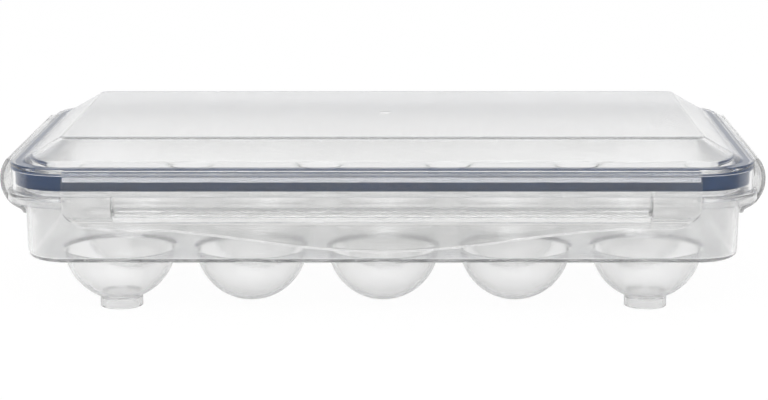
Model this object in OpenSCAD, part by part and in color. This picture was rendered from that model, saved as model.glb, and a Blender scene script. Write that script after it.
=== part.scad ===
// Egg keeper: a tray of round cups under a clear lid that four hinged flaps hold shut.
// Z is up, the feet stand on z = 0 and the origin is midway between them. The front is at -Y.

/* [Egg cups] */
// Cups along the length
cup_columns = 5; // [3:1:6]
// Rows of cups from front to back
cup_rows = 3; // [2:1:3]
// Deck left between two cups along the length
cup_gap_x = 6.28; // [2:0.1:12]
// Deck left between two rows of cups
cup_gap_y = 1; // [0.5:0.1:8]
// Outside radius of a cup
cup_outer_r = 21; // [18:0.25:24]
// Wall of a cup
cup_wall = 1.5; // [1.2:0.1:2]
// Rounding where the deck rolls over into a cup
cup_lip_round = 2.3; // [1.7:0.1:2.5]

/* [Feet] */
// How far the feet hold the cups over the table
foot_height = 2.6; // [2:0.1:6]
// Outside radius of a foot ring
foot_outer_r = 8; // [6:0.25:11]
// Wall of a foot ring
foot_wall = 1.4; // [1:0.1:2.5]

/* [Tray] */
// Depth of the deck's underside under the cups' centres
deck_drop = 2.2; // [1.6:0.1:3]
// Thickness of the deck
deck_thick = 1.6; // [1.2:0.1:2]
// Deck left between the end cups and the end walls
deck_end_land = 11.8; // [6:0.1:20]
// Deck left between the outer rows and the long walls
deck_side_land = 2.6; // [2.2:0.1:12]
// Thickness of the tray wall
wall_thick = 1.6; // [1.2:0.1:2]
// How far the wall leans outward from the deck to the flange
wall_draft = 0.4; // [0:0.1:0.6]
// Corner radius of the wall, seen from above
wall_corner_r = 17; // [15.5:0.5:24]
// Rounding along the bottom edge of the tray
base_round = 2.4; // [1.7:0.1:2.4]
// Top of the rim that presses on the seal
rim_top_z = 49; // [48.2:0.1:50]

/* [Flange] */
// Underside of the flange
flange_under_z = 43.2; // [42.5:0.1:44.5]
// Top of the flange
flange_top_z = 47; // [46.2:0.1:47.8]
// How far the flange stands out from the wall
flange_out = 6.4; // [5.4:0.1:7]
// Thickness of the flange's shelf and of its lip
flange_thick = 1.4; // [1:0.1:1.6]
// Depth of the catch rib, the part of the flange that is left behind a flap
catch_rib = 1.2; // [0.8:0.1:1.3]

/* [Lid] */
// How far the lid's skirt stands out from the tray wall
skirt_out = 5; // [4.6:0.1:5.4]
// Wall of the lid's skirt and of its inner rib
skirt_wall = 1.4; // [1:0.1:1.6]
// Top of the lid's rim ledge
ledge_z = 57.6; // [57:0.1:60]
// Width of the rim ledge
ledge_width = 4; // [2:0.1:5.6]
// Thickness of the lid over the seal groove
ledge_thick = 2.6; // [1.6:0.1:3.2]
// Top of the raised panel
panel_z = 66.2; // [62:0.1:72]
// Length of the slope from the ledge to the raised panel, seen from above
slope_run = 14.8; // [10:0.1:16.4]
// Thickness of the lid's top
lid_thick = 1.6; // [1.2:0.1:2]
// How deep the inner rib reaches
rib_bottom_z = 46.5; // [44:0.1:48]

/* [Seal] */
// Height of the silicone seal
seal_height = 5.8; // [4:0.1:5.9]
// Rounding of the seal's edges
seal_round = 1.2; // [0.5:0.1:1.5]

/* [Flaps] */
// Length of the front and back flaps
long_flap_length = 230.6; // [120:0.2:230.6]
// Length of the left and right flaps
short_flap_length = 100; // [60:0.5:102.5]
// Radius of a flap's bulged outer face
flap_bulge_r = 12.8; // [12:0.1:13.4]
// How far a flap bulges out past the skirt
flap_bulge_out = 4.9; // [4.5:0.1:5.3]
// Depth of the middle of the bulge under the rim ledge
flap_bulge_drop = 8.3; // [7.6:0.1:8.6]
// Thickness of a flap
flap_thick = 1.4; // [1.1:0.1:1.5]
// Bottom edge of a flap at its two ends
flap_bottom_z = 35; // [33:0.1:35.6]
// How much lower the middle of a long flap reaches
long_flap_crown = 8.6; // [3:0.1:9]
// How much lower the middle of a short flap reaches
short_flap_crown = 5; // [2:0.1:7]
// Radius of a flap's lower corners
flap_corner_r = 8.4; // [5:0.1:8.5]
// Flap left plain at each end of its latch ridge and grip
flap_end_plain = 18; // [12:0.5:22]
// Bottom of the latch ridge
ridge_bottom_z = 39.1; // [38.4:0.1:40]
// Top of the grip, the thicker lower middle of a flap
grip_top_z = 41; // [38:0.1:42.5]
// How far the grip stands out
grip_step = 0.7; // [0.4:0.1:1]

/* [Living hinges] */
// Radius of the round web that a flap turns on
web_r = 0.5; // [0.4:0.05:0.6]
// Distance of the web's centre from the skirt
web_out = 0.6; // [0.6:0.05:0.8]
// Depth of the web's centre under the rim ledge
web_drop = 0.6; // [0.6:0.05:0.8]
// Thickness of the neck that joins the web to the skirt
neck_thick = 0.4; // [0.3:0.05:0.5]

/* [Clearances] */
// Running gap round a hinge web
web_gap = 0.1; // [0.05:0.01:0.2]
// Gap between a latch ridge and the catch rib
latch_gap = 0.15; // [0.1:0.01:0.3]
// Gap between lid and tray where one stands over the other
seat_gap = 0.3; // [0.2:0.05:0.5]
// Gap beside the seal in its groove
seal_side_gap = 0.2; // [0.1:0.05:0.3]
// Gap under the seal
seal_under_gap = 0.1; // [0.05:0.01:0.2]
// Gap at each end of a flap's notch in the flange
notch_gap = 0.6; // [0.4:0.1:1.5]

/* [Hidden] */
$fn = 96;
// Lengths that only have to reach past a cut
past = 1;
// Points along half of a flap's curved bottom edge
crown_steps = 12;

// Lengths that pieces meet at are kept to a hundredth of a millimetre, so that they close.
function hundredths(length) = round(length * 100) / 100;

cup_centre_z = foot_height + cup_outer_r;
deck_under_z = cup_centre_z - deck_drop;
deck_top_z = deck_under_z + deck_thick;
cup_inner_r = cup_outer_r - cup_wall;
lip_centre_z = deck_top_z - cup_lip_round;
// The lip's rounding touches the cup's inner ball and runs level into the deck.
lip_r = hundredths(sqrt(pow(cup_inner_r + cup_lip_round, 2) - pow(lip_centre_z - cup_centre_z, 2)));
lip_meets_ball_z = cup_centre_z + cup_inner_r * (lip_centre_z - cup_centre_z) / (cup_inner_r + cup_lip_round);
cup_pitch_x = 2 * lip_r + cup_gap_x;
cup_pitch_y = 2 * lip_r + cup_gap_y;

half_x = hundredths((cup_columns - 1) / 2 * cup_pitch_x + lip_r + deck_end_land);
half_y = hundredths((cup_rows - 1) / 2 * cup_pitch_y + lip_r + deck_side_land);

skirt_half_x = half_x + skirt_out;
skirt_half_y = half_y + skirt_out;
skirt_bottom_z = flange_top_z + seat_gap;
skirt_inner_u = skirt_out - skirt_wall;
rib_outer_u = -wall_thick - seat_gap;
rib_inner_u = rib_outer_u - skirt_wall;
slope_foot_u = skirt_out - ledge_width;
panel_edge_u = slope_foot_u - slope_run;
slope_rise = panel_z - ledge_z;
slope_length = sqrt(pow(slope_run, 2) + pow(slope_rise, 2));
slope_depth = lid_thick * slope_length / slope_run;
groove_top_z = ledge_z - ledge_thick;
seal_bottom_z = rim_top_z + seal_under_gap;
seal_top_z = min(groove_top_z, seal_bottom_z + seal_height);

web_z = ledge_z - web_drop;
flap_bulge_z = ledge_z - flap_bulge_drop;
flap_arc_centre_out = flap_bulge_out - flap_bulge_r;
latch_out = catch_rib + latch_gap - skirt_out;
ridge_top_z = flange_under_z - seat_gap;
flap_foot_out = latch_out + flap_thick;

rows = ["front", "middle", "back"];
row_names = cup_rows == 2 ? ["front", "back"] : rows;
cups = [for (r = [0 : cup_rows - 1], c = [0 : cup_columns - 1]) [r, c]];
sides = ["right", "back", "left", "front"];
foot_corners = ["front_left", "front_right", "back_left", "back_right"];

function cup_name(r, c) = str("cup_", row_names[r], "_", c + 1);
function cup_x(c) = (c - (cup_columns - 1) / 2) * cup_pitch_x;
function cup_y(r) = (r - (cup_rows - 1) / 2) * cup_pitch_y;
function slope_z(u) = ledge_z + (slope_foot_u - u) * slope_rise / slope_run;
function long_side(side) = side == "front" || side == "back";
function flap_length(side) = long_side(side) ? long_flap_length : short_flap_length;
function flap_crown(side) = long_side(side) ? long_flap_crown : short_flap_crown;
function skirt_at(side) = long_side(side) ? skirt_half_y : skirt_half_x;

// Carries a section round the tray's outline. The section's x is the distance out from the
// outline, which the wall's outer face follows, and its y is the height.
module round_the_tray() {
    for (k = [0 : 3]) {
        reach = k % 2 == 0 ? half_x : half_y;
        other = k % 2 == 0 ? half_y : half_x;
        run = hundredths(other - wall_corner_r);
        rotate([0, 0, 90 * k])
            translate([reach, 0, 0])
                rotate([90, 0, 0])
                    linear_extrude(height = 2 * run, center = true)
                        children();
        rotate([0, 0, 90 * k])
            translate([reach - wall_corner_r, run, 0])
                rotate_extrude(angle = 90)
                    translate([wall_corner_r, 0])
                        children();
    }
}

// Turns a piece made at the right-hand side to the named side.
module at_side(side) {
    turn = side == "right" ? 0 : side == "back" ? 90 : side == "left" ? 180 : 270;
    rotate([0, 0, turn])
        translate([skirt_at(side), 0, 0])
            children();
}

// Extrudes a section of a flap or hinge along the side: x is the distance out from the skirt.
module along_side(length) {
    rotate([90, 0, 0])
        linear_extrude(height = length, center = true)
            children();
}

module wall_base_section() {
    intersection() {
        union() {
            translate([-wall_draft - base_round, deck_under_z + base_round])
                circle(r = base_round);
            translate([-wall_draft - wall_corner_r / 2, deck_under_z])
                square([wall_corner_r / 2 - base_round, base_round]);
            translate([-wall_draft - wall_corner_r / 2, deck_under_z + base_round])
                square([wall_corner_r / 2, base_round]);
        }
        translate([-wall_corner_r, deck_under_z])
            square([2 * wall_corner_r, deck_thick]);
    }
}

module wall_section() {
    low_z = deck_under_z + base_round;
    intersection() {
        union() {
            translate([-wall_draft - base_round, low_z])
                circle(r = base_round);
            polygon([
                [-wall_draft, low_z],
                [0, flange_under_z],
                [0, rim_top_z],
                [-wall_thick, rim_top_z],
                [-wall_thick, flange_under_z],
                [-wall_draft - wall_thick, low_z],
                [-wall_draft - wall_thick, deck_top_z],
                [-wall_draft - base_round / 2, deck_top_z],
            ]);
        }
        translate([-wall_draft - wall_thick, deck_top_z])
            square([2 * wall_corner_r, rim_top_z - deck_top_z]);
    }
    translate([-wall_thick / 2, flange_under_z])
        square([wall_thick / 2 + catch_rib, flange_top_z - flange_under_z]);
}

module flange_section() {
    translate([0, flange_top_z - flange_thick])
        square([flange_out, flange_thick]);
    translate([flange_out - flange_thick, flange_under_z])
        square([flange_thick, flange_top_z - flange_under_z]);
}

// The room that a flap and its latch ridge need in the flange.
module flap_notch(side) {
    at_side(side)
        along_side(flap_length(side) + 2 * notch_gap)
            translate([catch_rib - skirt_out, flange_under_z - past])
                square([flange_out, flange_top_z - flange_under_z + 2 * past]);
}

module tray_wall() {
    color([0.93, 0.94, 0.95, 0.6]) {
        round_the_tray() wall_section();
        difference() {
            round_the_tray() flange_section();
            for (side = sides) flap_notch(side);
        }
    }
}

module cup_holes() {
    for (rc = cups)
        translate([cup_x(rc[1]), cup_y(rc[0]), deck_under_z - past])
            cylinder(r = lip_r, h = deck_thick + 2 * past);
}

module tray_deck() {
    color([0.93, 0.94, 0.95, 0.6])
        difference() {
            union() {
                round_the_tray() wall_base_section();
                translate([-half_x + wall_corner_r / 2, -half_y + wall_corner_r / 2, deck_under_z])
                    cube([2 * half_x - wall_corner_r, 2 * half_y - wall_corner_r, deck_thick]);
            }
            cup_holes();
        }
}

module cup_section() {
    difference() {
        union() {
            intersection() {
                translate([0, cup_centre_z])
                    circle(r = cup_outer_r);
                translate([0, cup_centre_z - cup_outer_r - past])
                    square([cup_outer_r, deck_under_z - cup_centre_z + cup_outer_r + past]);
            }
            translate([0, deck_under_z])
                square([lip_r, deck_thick]);
        }
        translate([0, cup_centre_z])
            circle(r = cup_inner_r);
        difference() {
            translate([0, lip_meets_ball_z])
                square([lip_r, deck_top_z - lip_meets_ball_z + past]);
            translate([lip_r, lip_centre_z])
                circle(r = cup_lip_round);
        }
    }
}

module cup(r, c) {
    color([0.95, 0.96, 0.97, 0.5])
        translate([cup_x(c), cup_y(r), 0])
            rotate_extrude()
                cup_section();
}

module foot(corner) {
    c = corner == "front_left" || corner == "back_left" ? 0 : cup_columns - 1;
    r = corner == "front_left" || corner == "front_right" ? 0 : cup_rows - 1;
    color([0.93, 0.94, 0.95, 0.6])
        translate([cup_x(c), cup_y(r), 0])
            difference() {
                cylinder(r = foot_outer_r, h = cup_centre_z - cup_inner_r + cup_wall);
                translate([0, 0, -past])
                    cylinder(r = foot_outer_r - foot_wall, h = cup_outer_r);
                translate([0, 0, cup_centre_z])
                    sphere(r = cup_outer_r);
            }
}

module lid_section() {
    under_panel_z = panel_z - lid_thick;
    under_slope_z = slope_z(rib_inner_u) - slope_depth;
    // Where the slope's underside meets the panel's underside
    turn_u = slope_foot_u - (under_panel_z + slope_depth - ledge_z) * slope_run / slope_rise;
    polygon([
        [turn_u - past, panel_z],
        [panel_edge_u, panel_z],
        [slope_foot_u, ledge_z],
        [skirt_out, ledge_z],
        [skirt_out, skirt_bottom_z],
        [skirt_inner_u, skirt_bottom_z],
        [skirt_inner_u, groove_top_z],
        [rib_outer_u, groove_top_z],
        [rib_outer_u, rib_bottom_z],
        [rib_inner_u, rib_bottom_z],
        [rib_inner_u, under_slope_z],
        [turn_u, under_panel_z],
        [turn_u - past, under_panel_z],
    ]);
}

module lid() {
    panel_half_x = half_x + panel_edge_u;
    panel_half_y = half_y + panel_edge_u;
    panel_corner_r = wall_corner_r + panel_edge_u;
    color([0.96, 0.97, 0.98, 0.35]) {
        round_the_tray() lid_section();
        translate([-panel_half_x, -panel_half_y + panel_corner_r, panel_z - lid_thick])
            cube([2 * panel_half_x, 2 * (panel_half_y - panel_corner_r), lid_thick]);
        translate([-panel_half_x + panel_corner_r, -panel_half_y, panel_z - lid_thick])
            cube([2 * (panel_half_x - panel_corner_r), 2 * panel_half_y, lid_thick]);
        for (sx = [-1, 1], sy = [-1, 1])
            translate([sx * (panel_half_x - panel_corner_r), sy * (panel_half_y - panel_corner_r), panel_z - lid_thick])
                cylinder(r = panel_corner_r, h = lid_thick);
    }
}

module seal_section() {
    low_u = rib_outer_u + seal_side_gap;
    high_u = skirt_inner_u - seal_side_gap;
    for (u = [low_u + seal_round, high_u - seal_round], z = [seal_bottom_z + seal_round, seal_top_z - seal_round])
        translate([u, z])
            circle(r = seal_round);
    translate([low_u + seal_round, seal_bottom_z])
        square([high_u - low_u - 2 * seal_round, seal_top_z - seal_bottom_z]);
    translate([low_u, seal_bottom_z + seal_round])
        square([high_u - low_u, seal_top_z - seal_bottom_z - 2 * seal_round]);
}

module lid_seal() {
    color([0.14, 0.18, 0.32])
        round_the_tray() seal_section();
}

// A round web on the hinge line with a thin neck back to the lid's skirt
module hinge_web(side) {
    color([0.96, 0.97, 0.98, 0.5])
        at_side(side)
            along_side(flap_length(side) - 2 * notch_gap) {
                translate([web_out, web_z])
                    circle(r = web_r);
                translate([0, web_z - neck_thick / 2])
                    square([web_out, neck_thick]);
            }
}

// The bulged shell of a flap, a bow from the hinge that ends in a plate along the tray wall
module flap_shell_section(extra) {
    foot_out = flap_foot_out + extra;
    arc_centre = [flap_arc_centre_out, flap_bulge_z];
    bottom_z = flap_bottom_z - max(long_flap_crown, short_flap_crown) - past;
    difference() {
        intersection() {
            union() {
                translate(arc_centre)
                    circle(r = flap_bulge_r + extra);
                translate([latch_out, bottom_z])
                    square([flap_thick + extra, flap_bulge_z - bottom_z - flap_bulge_r / 2]);
            }
            translate([latch_out, bottom_z])
                square([2 * flap_bulge_r, web_z - bottom_z]);
        }
        intersection() {
            translate(arc_centre)
                circle(r = flap_bulge_r - flap_thick);
            translate([latch_out - past, flap_bulge_z - flap_bulge_r])
                square([2 * flap_bulge_r, 2 * flap_bulge_r]);
        }
        translate([web_out, web_z])
            circle(r = web_r + web_gap);
    }
}

module latch_ridge_section() {
    intersection() {
        translate([flap_arc_centre_out, flap_bulge_z])
            circle(r = flap_bulge_r - flap_thick / 2);
        translate([latch_out, ridge_bottom_z])
            square([flap_bulge_r, ridge_top_z - ridge_bottom_z]);
    }
}

// How far a flap's bottom edge hangs below its ends at a distance s from its middle
function crown_drop(side, s, half) = flap_crown(side) * (1 + cos(180 * s / half)) / 2;

// A flap seen face on: straight ends, round lower corners and a crowned bottom edge
module flap_outline(side) {
    half = flap_length(side) / 2;
    crown_half = half - 2 * flap_corner_r;
    low_z = flap_bottom_z;
    // The crown hangs under a flat lower edge between the two corner arcs.
    crown = [
        for (k = [-crown_steps : crown_steps])
            let (s = k * crown_half / crown_steps)
                [s, low_z - crown_drop(side, s, crown_half)]
    ];
    for (s = [-half + flap_corner_r, half - flap_corner_r])
        translate([s, low_z + flap_corner_r])
            circle(r = flap_corner_r);
    translate([-half, low_z + flap_corner_r])
        square([2 * half, web_z - low_z - flap_corner_r]);
    translate([-half + flap_corner_r, low_z])
        square([2 * (half - flap_corner_r), flap_corner_r + past]);
    polygon(concat([[crown_half, low_z + past], [-crown_half, low_z + past]], crown));
}

module flap(side) {
    length = flap_length(side);
    middle = length - 2 * flap_end_plain;
    color([0.94, 0.95, 0.97, 0.35])
        at_side(side)
            intersection() {
                union() {
                    along_side(length) flap_shell_section(0);
                    along_side(middle) latch_ridge_section();
                    intersection() {
                        along_side(middle) flap_shell_section(grip_step);
                        translate([-2 * flap_bulge_r, -length / 2, 0])
                            cube([4 * flap_bulge_r, length, grip_top_z]);
                    }
                }
                rotate([90, 0, 90])
                    linear_extrude(height = 4 * flap_bulge_r, center = true)
                        flap_outline(side);
            }
}

tray_wall();
tray_deck();
for (rc = cups)
    cup(rc[0], rc[1]);
for (corner = foot_corners)
    foot(corner);
lid();
lid_seal();
for (side = sides)
    hinge_web(side);
for (side = sides)
    flap(side);
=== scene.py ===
"""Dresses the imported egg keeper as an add-on of one operator a piece.

Every piece is a surface worked out with numpy in the frame's own metres. A section is given as
(out, height) points, where out is the distance from the tray wall's outer face.
"""
import math

import bmesh
import bpy
import numpy as np
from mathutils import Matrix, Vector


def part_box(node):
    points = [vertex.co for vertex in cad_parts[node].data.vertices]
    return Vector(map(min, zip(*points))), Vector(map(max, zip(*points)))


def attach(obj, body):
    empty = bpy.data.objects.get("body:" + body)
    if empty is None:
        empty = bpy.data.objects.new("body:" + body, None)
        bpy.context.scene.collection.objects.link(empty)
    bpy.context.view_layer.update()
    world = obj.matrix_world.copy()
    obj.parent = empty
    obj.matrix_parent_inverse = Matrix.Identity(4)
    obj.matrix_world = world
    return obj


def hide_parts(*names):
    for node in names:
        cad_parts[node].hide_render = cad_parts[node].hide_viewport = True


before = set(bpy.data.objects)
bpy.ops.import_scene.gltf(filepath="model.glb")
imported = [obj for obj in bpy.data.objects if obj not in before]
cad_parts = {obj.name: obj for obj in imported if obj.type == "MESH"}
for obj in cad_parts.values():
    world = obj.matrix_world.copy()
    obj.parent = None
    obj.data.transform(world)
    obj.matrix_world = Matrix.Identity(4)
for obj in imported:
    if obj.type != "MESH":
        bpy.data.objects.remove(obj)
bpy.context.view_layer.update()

bl_info = {
    "name": "Egg keeper dress",
    "version": (1, 0, 0),
    "blender": (4, 5, 0),
    "location": "3D View > Sidebar > Egg keeper",
    "description": "Builds the clear mouldings, seal, hinges and flaps of an egg keeper",
    "category": "Add Mesh",
}

MM = 0.001
DECK_LOW, DECK_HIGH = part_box("tray_deck")
WALL_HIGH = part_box("tray_wall")[1]
LID_LOW, LID_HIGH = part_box("lid")
SEAL_LOW, SEAL_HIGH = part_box("lid_seal")
FOOT_LOW, FOOT_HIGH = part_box("foot_front_left")
CUP_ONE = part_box("cup_front_1")[0]
CUP_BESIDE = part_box("cup_front_2")[0]
CUP_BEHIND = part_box("cup_middle_1")[0]

COLUMNS = 5
ROWS = 3
ROW_NAMES = ("front", "middle", "back")
SIDES = ("right", "back", "left", "front")
FOOT_NODES = ("foot_front_left", "foot_front_right", "foot_back_left", "foot_back_right")
MERGE = 2e-6

# Steps along a cup's stretch of the outline and round a corner, and rows of a flap's section.
CELL_STEPS = 18
BEND_STEPS = 27
FACE_ROWS = 39
BOW_ROWS = 19
SEAT_ROWS = 14

# The fitted camera: millimetres for the lens, metres for its place and degrees for its tilt.
CAMERA_LENS = 101.74
CAMERA_SHIFT = -0.0496
CAMERA_PLACE = (0.0146, -0.8411, 0.2061)
CAMERA_TILT = 11.75

# The floor's painted shade in front of the object fades to pale over this stretch of Y, and this share of the
# floor is plain white.
FLOOR_SHADE_TO_PALE = (-0.1, -0.01)
FLOOR_WHITE = 0.97
BOUNCES = 64


def length(name, description, default):
    """A distance in metres that a user may change."""
    return bpy.props.FloatProperty(
        name=name, description=description, default=default, min=0.0, precision=5,
        unit="LENGTH", subtype="DISTANCE",
    )


def tint(name, description, default):
    """A linear colour that a user may change."""
    return bpy.props.FloatVectorProperty(
        name=name, description=description, default=default, size=3, min=0.0, max=1.0, subtype="COLOR"
    )


class EggKeeperTraySizes(bpy.types.PropertyGroup):
    pitch_x: length("Cup pitch along", "Distance between cups along the length", CUP_BESIDE.x - CUP_ONE.x)
    pitch_y: length("Cup pitch across", "Distance between rows of cups", CUP_BEHIND.y - CUP_ONE.y)
    ball: length("Cup radius", "Inside radius of a cup", 19.5 * MM)
    ball_z: length("Cup height", "Height of the cups' centres", 23.6 * MM)
    cup_wall: length("Cup wall", "Thickness of a cup", 1.5 * MM)
    lip_round: length("Lip rounding", "Rounding where the deck rolls into a cup", 2.3 * MM)
    under_round: length("Root rounding", "Rounding where a cup leaves the deck's underside", 0.3 * MM)
    foot_wall: length("Foot wall", "Wall of a foot ring", 1.4 * MM)
    foot_round: length("Foot rounding", "Rounding of a foot ring's edges", 0.35 * MM)
    half_x: length("Half length", "Half of the tray's length at the flange", LID_HIGH.x - 5.0 * MM)
    half_y: length("Half depth", "Half of the tray's depth at the flange", LID_HIGH.y - 5.0 * MM)
    corner: length("Corner radius", "Corner radius of the wall, seen from above", 17.0 * MM)
    wall: length("Wall", "Thickness of the tray wall", 1.6 * MM)
    draft: length("Draft", "How far the wall leans out towards the flange", 0.4 * MM)
    base_round: length("Base rounding", "Rounding along the tray's bottom edge", 2.4 * MM)
    inner_round: length("Inner rounding", "Rounding where the wall rises from the deck", 0.5 * MM)
    flange_z: length("Flange underside", "Height of the flange's lower edge", 43.2 * MM)
    flange_top: length("Flange top", "Height of the flange's top", 47.0 * MM)
    flange_thick: length("Flange thickness", "Thickness of the flange's shelf and lip", 1.4 * MM)
    catch_rib: length("Catch rib", "Depth of the rib that the flaps catch", 1.2 * MM)


class EggKeeperLidSizes(bpy.types.PropertyGroup):
    skirt_out: length("Skirt reach", "How far the skirt stands out from the wall", 5.0 * MM)
    skirt_wall: length("Skirt wall", "Thickness of the skirt and the inner rib", 1.4 * MM)
    skirt_low: length("Skirt bottom", "Height of the skirt's lower edge", 47.3 * MM)
    ledge_z: length("Ledge height", "Height of the rim ledge", 57.6 * MM)
    ledge_width: length("Ledge width", "Width of the rim ledge", 4.0 * MM)
    ledge_thick: length("Ledge thickness", "Thickness of the lid over the seal groove", 2.6 * MM)
    slope_run: length("Slope run", "Width of the slope up to the raised panel", 14.8 * MM)
    panel_round: length("Panel rounding", "Rounding of the raised panel's edge", 2.4 * MM)
    thick: length("Top thickness", "Thickness of the lid's top", 1.6 * MM)
    rib_gap: length("Rib gap", "Gap between the tray wall and the inner rib", 0.3 * MM)
    seal_gap: length("Seal gap", "Gap beside the seal in its groove", 0.2 * MM)
    seal_round: length("Seal rounding", "Rounding of the seal's lower edges", 1.2 * MM)
    seal_bite: length("Seal bite", "How far the seal is pressed into the groove's top", 0.02 * MM)
    gate: length("Gate mark", "Radius of the moulding gate's mark on the panel", 2.4 * MM)


class EggKeeperFlapSizes(bpy.types.PropertyGroup):
    bulge: length("Bulge radius", "Radius of a flap's bulged face", 12.8 * MM)
    bulge_out: length("Bulge reach", "How far a flap bulges past the skirt", 4.9 * MM)
    bulge_z: length("Bulge height", "Height of the middle of the bulge", 49.3 * MM)
    thick: length("Flap thickness", "Thickness of a flap", 1.4 * MM)
    foot_out: length("Plate setback", "How far the flap's lower plate lies behind the skirt", 2.25 * MM)
    sweep: length("Sweep", "Radius where the bulge runs into the plate", 1.5 * MM)
    end_z: length("End height", "Height of the bottom edge at the ends", 35.0 * MM)
    corner: length("Corner radius", "Radius of a flap's lower corners", 8.4 * MM)
    plain: length("Plain end", "Flap left plain at each end of the grip", 18.0 * MM)
    ridge_low: length("Ridge bottom", "Height of the latch ridge's lower face", 39.1 * MM)
    ridge_top: length("Ridge top", "Height of the latch ridge's upper face", 42.9 * MM)
    grip_top: length("Grip top", "Height of the grip's upper edge", 41.0 * MM)
    grip_step: length("Grip step", "How far the grip stands out", 0.7 * MM)
    edge: length("Edge rounding", "Rounding of a flap's free edges", 0.5 * MM)
    web: length("Web radius", "Radius of the round hinge web", 0.5 * MM)
    web_out: length("Web reach", "Distance of the hinge line from the skirt", 0.6 * MM)
    web_drop: length("Web drop", "Depth of the hinge line under the ledge", 0.6 * MM)
    web_gap: length("Web gap", "Running gap round the hinge web", 0.1 * MM)
    neck: length("Neck", "Thickness of the web's neck", 0.4 * MM)


class EggKeeperFinish(bpy.types.PropertyGroup):
    tray: tint("Tray plastic", "Tint of the frosted tray", (0.998, 0.998, 0.996))
    lid: tint("Lid plastic", "Tint of the clear lid", (0.995, 0.996, 0.998))
    # The flaps' tint is darker than the lid's, though both are the same clear plastic: painted shade for the
    # darker look through the flaps.
    flap: tint("Flap plastic", "Tint of the clear flaps", (0.965, 0.965, 0.96))
    seal: tint("Seal", "Navy of the silicone seal", (0.03, 0.07, 0.17))
    floor: tint("Floor", "Colour of the studio floor", (0.9, 0.9, 0.9))
    # Painted shade on the floor in front of the object. The object's reflections, the view through its plastic
    # and the light bounced up from the floor all see it there.
    floor_painted_shade: tint("Dark floor", "The floor in front of the object, as its faces mirror it", (0.3, 0.31, 0.33))
    front: tint("Dark side", "The room in front and beside the object, as faces mirror it", (0.6, 0.61, 0.63))


def settings(name):
    """One of the scene's groups of values."""
    return getattr(bpy.context.scene, name)


def rounded_path(corners, steps=4, lead=0.0):
    """The points of a path of straight runs whose corners are arcs.

    corners are (x, y, radius). An arc's points run evenly in angle between its two tangent points, and a
    point stands at lead before and after it, so that a flat run next to it stays flat when shaded.
    """
    points = [corners[0][:2]]
    for before, here, after in zip(corners, corners[1:], corners[2:]):
        p, a, b = (np.array(q[:2], float) for q in (here, before, after))
        to_a, to_b = a - p, b - p
        # A run that ends the path leaves nearly all of itself to the arc, any other run half.
        room = min(np.linalg.norm(way) * (0.98 if q is corners[0] or q is corners[-1] else 0.48)
                   for way, q in ((to_a, before), (to_b, after)))
        to_a, to_b = to_a / np.linalg.norm(to_a), to_b / np.linalg.norm(to_b)
        half = 0.5 * math.acos(np.clip(to_a @ to_b, -1.0, 1.0))
        reach = min(here[2] / math.tan(half), room)
        if here[2] <= 0.0 or reach < 1e-7 or half > 1.55:
            points.append(tuple(p))
            continue
        radius = reach * math.tan(half)
        middle = p + (to_a + to_b) / np.linalg.norm(to_a + to_b) * radius / math.sin(half)
        start, end = p + to_a * reach - middle, p + to_b * reach - middle
        turn = math.atan2(start[0] * end[1] - start[1] * end[0], start @ end)
        if lead and reach + lead < 0.5 * np.linalg.norm(a - p):
            points.append(tuple(p + to_a * (reach + lead)))
        for k in range(steps + 1):
            t = turn * k / steps
            c, s = math.cos(t), math.sin(t)
            points.append(tuple(middle + (c * start[0] - s * start[1], s * start[0] + c * start[1])))
        if lead and reach + lead < 0.5 * np.linalg.norm(b - p):
            points.append(tuple(p + to_b * (reach + lead)))
    points.append(corners[-1][:2])
    return np.array(points, float)


def arc(centre, radius, start, end, count):
    """Points on a circle, evenly spaced between two angles in radians."""
    t = np.linspace(start, end, count)
    return np.stack([centre[0] + radius * np.cos(t), centre[1] + radius * np.sin(t)], 1)


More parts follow.
